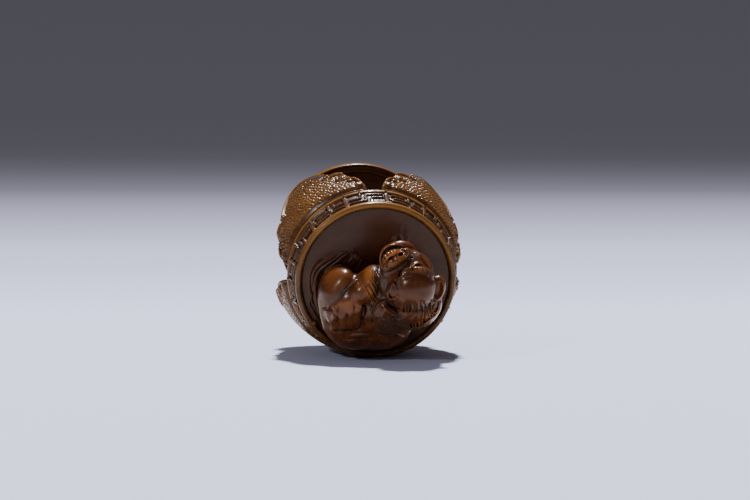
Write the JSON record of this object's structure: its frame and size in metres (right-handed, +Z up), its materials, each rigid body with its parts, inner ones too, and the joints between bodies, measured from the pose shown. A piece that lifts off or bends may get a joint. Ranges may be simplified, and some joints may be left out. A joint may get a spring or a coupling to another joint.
{
  "type": "netsuke",
  "caption": "Carved boxwood netsuke: a lion-dog curled on the round top of a footed drum pedestal with scalloped cloth flaps, lying on its side.",
  "frame": {"origin": "centre of the part's box at table height, with the carving lying on its side as it rests", "axes": "+Z up; the figure end points to -Y and 13 degrees down, the flat base of the foot faces +Y and 13 degrees up; +X across the top disc"},
  "size_m": [0.0304, 0.0474, 0.0323],
  "materials": {
    "boxwood": "stained and polished boxwood, dark reddish brown in the recesses and golden on the worn ridges"
  },
  "bodies": {
    "root": {"netsuke": "boxwood"}
  },
  "joints": []
}
